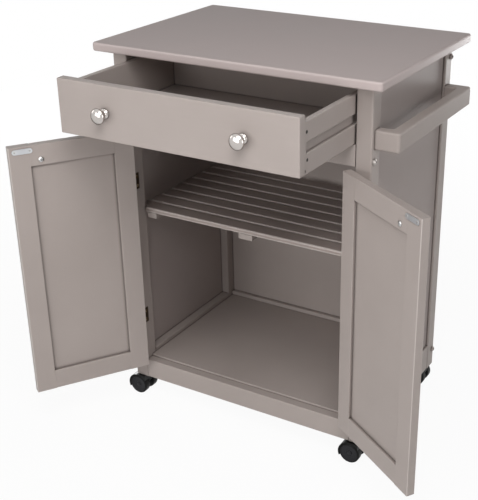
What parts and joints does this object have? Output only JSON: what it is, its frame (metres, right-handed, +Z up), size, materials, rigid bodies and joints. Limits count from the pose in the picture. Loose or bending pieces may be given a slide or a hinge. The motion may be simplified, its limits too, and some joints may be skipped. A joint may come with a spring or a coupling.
{
  "type": "kitchen cart",
  "caption": "Rolling kitchen cart in warm grey paint with a pull-out drawer, two hinged doors, a slatted shelf, a side towel bar and swivel casters",
  "frame": {"origin": "on the floor, under the middle of the carcass", "axes": "+X to the cart's right as seen from the front, +Y to the back, +Z up"},
  "size_m": [0.8876, 0.6657, 0.854],
  "materials": {
    "painted_wood": "satin warm grey paint",
    "satin_nickel": "satin",
    "zinc_plate": "bright zinc",
    "hinge_brass": "dull",
    "black_plastic": "satin",
    "wheel_plastic": "satin"
  },
  "bodies": {
    "cabinet": {"worktop": "painted_wood", "post_front_left": "painted_wood", "post_front_right": "painted_wood", "post_rear_left": "painted_wood", "post_rear_right": "painted_wood", "side_panel_left": "painted_wood", "side_panel_right": "painted_wood", "back_panel": "painted_wood", "front_bottom_rail": "painted_wood", "rear_bottom_rail": "painted_wood", "side_bottom_rails": "painted_wood", "drawer_cross_rail": "painted_wood", "rear_top_rail": "painted_wood", "top_cleats": "painted_wood", "drawer_runners": "painted_wood", "floor_panel": "painted_wood", "floor_cleats": "painted_wood", "shelf_slats": "painted_wood", "shelf_battens": "painted_wood", "towel_bar": "painted_wood", "shelf_pins": "zinc_plate", "frame_bolts": "zinc_plate", "caster_stems": "zinc_plate", "hinge_frame_leaves": "hinge_brass", "hinge_pins": "hinge_brass", "magnetic_catches": "black_plastic"},
    "left_door": {"left_door_hinge_stile": "painted_wood", "left_door_lock_stile": "painted_wood", "left_door_top_rail": "painted_wood", "left_door_bottom_rail": "painted_wood", "left_door_panel": "painted_wood", "left_door_knob": "satin_nickel", "left_door_strike_plate": "zinc_plate", "left_door_hinge_leaves": "hinge_brass"},
    "right_door": {"right_door_hinge_stile": "painted_wood", "right_door_lock_stile": "painted_wood", "right_door_top_rail": "painted_wood", "right_door_bottom_rail": "painted_wood", "right_door_panel": "painted_wood", "right_door_knob": "satin_nickel", "right_door_strike_plate": "zinc_plate", "right_door_hinge_leaves": "hinge_brass"},
    "drawer": {"drawer_front": "painted_wood", "drawer_side_left": "painted_wood", "drawer_side_right": "painted_wood", "drawer_back": "painted_wood", "drawer_bottom": "painted_wood", "drawer_knobs": "satin_nickel"},
    "caster_front_left_swivel": {"caster_front_left_hood": "black_plastic"},
    "caster_front_left_roller": {"caster_front_left_axle": "zinc_plate", "caster_front_left_wheels": "wheel_plastic"},
    "caster_front_right_swivel": {"caster_front_right_hood": "black_plastic"},
    "caster_front_right_roller": {"caster_front_right_axle": "zinc_plate", "caster_front_right_wheels": "wheel_plastic"},
    "caster_rear_left_swivel": {"caster_rear_left_hood": "black_plastic"},
    "caster_rear_left_roller": {"caster_rear_left_axle": "zinc_plate", "caster_rear_left_wheels": "wheel_plastic"},
    "caster_rear_right_swivel": {"caster_rear_right_hood": "black_plastic"},
    "caster_rear_right_roller": {"caster_rear_right_axle": "zinc_plate", "caster_rear_right_wheels": "wheel_plastic"}
  },
  "joints": [
    {"name": "left_door_hinge", "type": "hinge", "parent": "cabinet", "child": "left_door", "pos_m": [-0.265, -0.2015, 0.38725], "axis": [0, 0, -1], "range_deg": [-123.4, 51.6]},
    {"name": "right_door_hinge", "type": "hinge", "parent": "cabinet", "child": "right_door", "pos_m": [0.265, -0.2015, 0.38725], "axis": [0, 0, 1], "range_deg": [-147, 28]},
    {"name": "drawer_slide", "type": "slide", "parent": "cabinet", "child": "drawer", "axis": [0, -1, 0], "range_m": [-0.2137, 0.046]},
    {"name": "caster_front_left_swivel_joint", "type": "hinge", "parent": "cabinet", "child": "caster_front_left_swivel", "pos_m": [-0.283, -0.1785, 0.04], "axis": [0, 0, 1], "continuous": true},
    {"name": "caster_front_left_spin", "type": "hinge", "parent": "caster_front_left_swivel", "child": "caster_front_left_roller", "pos_m": [-0.2945, -0.1785, 0.0235], "axis": [0, 1, 0], "continuous": true},
    {"name": "caster_front_right_swivel_joint", "type": "hinge", "parent": "cabinet", "child": "caster_front_right_swivel", "pos_m": [0.283, -0.1785, 0.04], "axis": [0, 0, 1], "continuous": true},
    {"name": "caster_front_right_spin", "type": "hinge", "parent": "caster_front_right_swivel", "child": "caster_front_right_roller", "pos_m": [0.2715, -0.1785, 0.0235], "axis": [0, 1, 0], "continuous": true},
    {"name": "caster_rear_left_swivel_joint", "type": "hinge", "parent": "cabinet", "child": "caster_rear_left_swivel", "pos_m": [-0.283, 0.1785, 0.04], "axis": [0, 0, 1], "continuous": true},
    {"name": "caster_rear_left_spin", "type": "hinge", "parent": "caster_rear_left_swivel", "child": "caster_rear_left_roller", "pos_m": [-0.2945, 0.1785, 0.0235], "axis": [0, 1, 0], "continuous": true},
    {"name": "caster_rear_right_swivel_joint", "type": "hinge", "parent": "cabinet", "child": "caster_rear_right_swivel", "pos_m": [0.283, 0.1785, 0.04], "axis": [0, 0, 1], "continuous": true},
    {"name": "caster_rear_right_spin", "type": "hinge", "parent": "caster_rear_right_swivel", "child": "caster_rear_right_roller", "pos_m": [0.2715, 0.1785, 0.0235], "axis": [0, 1, 0], "continuous": true}
  ]
}
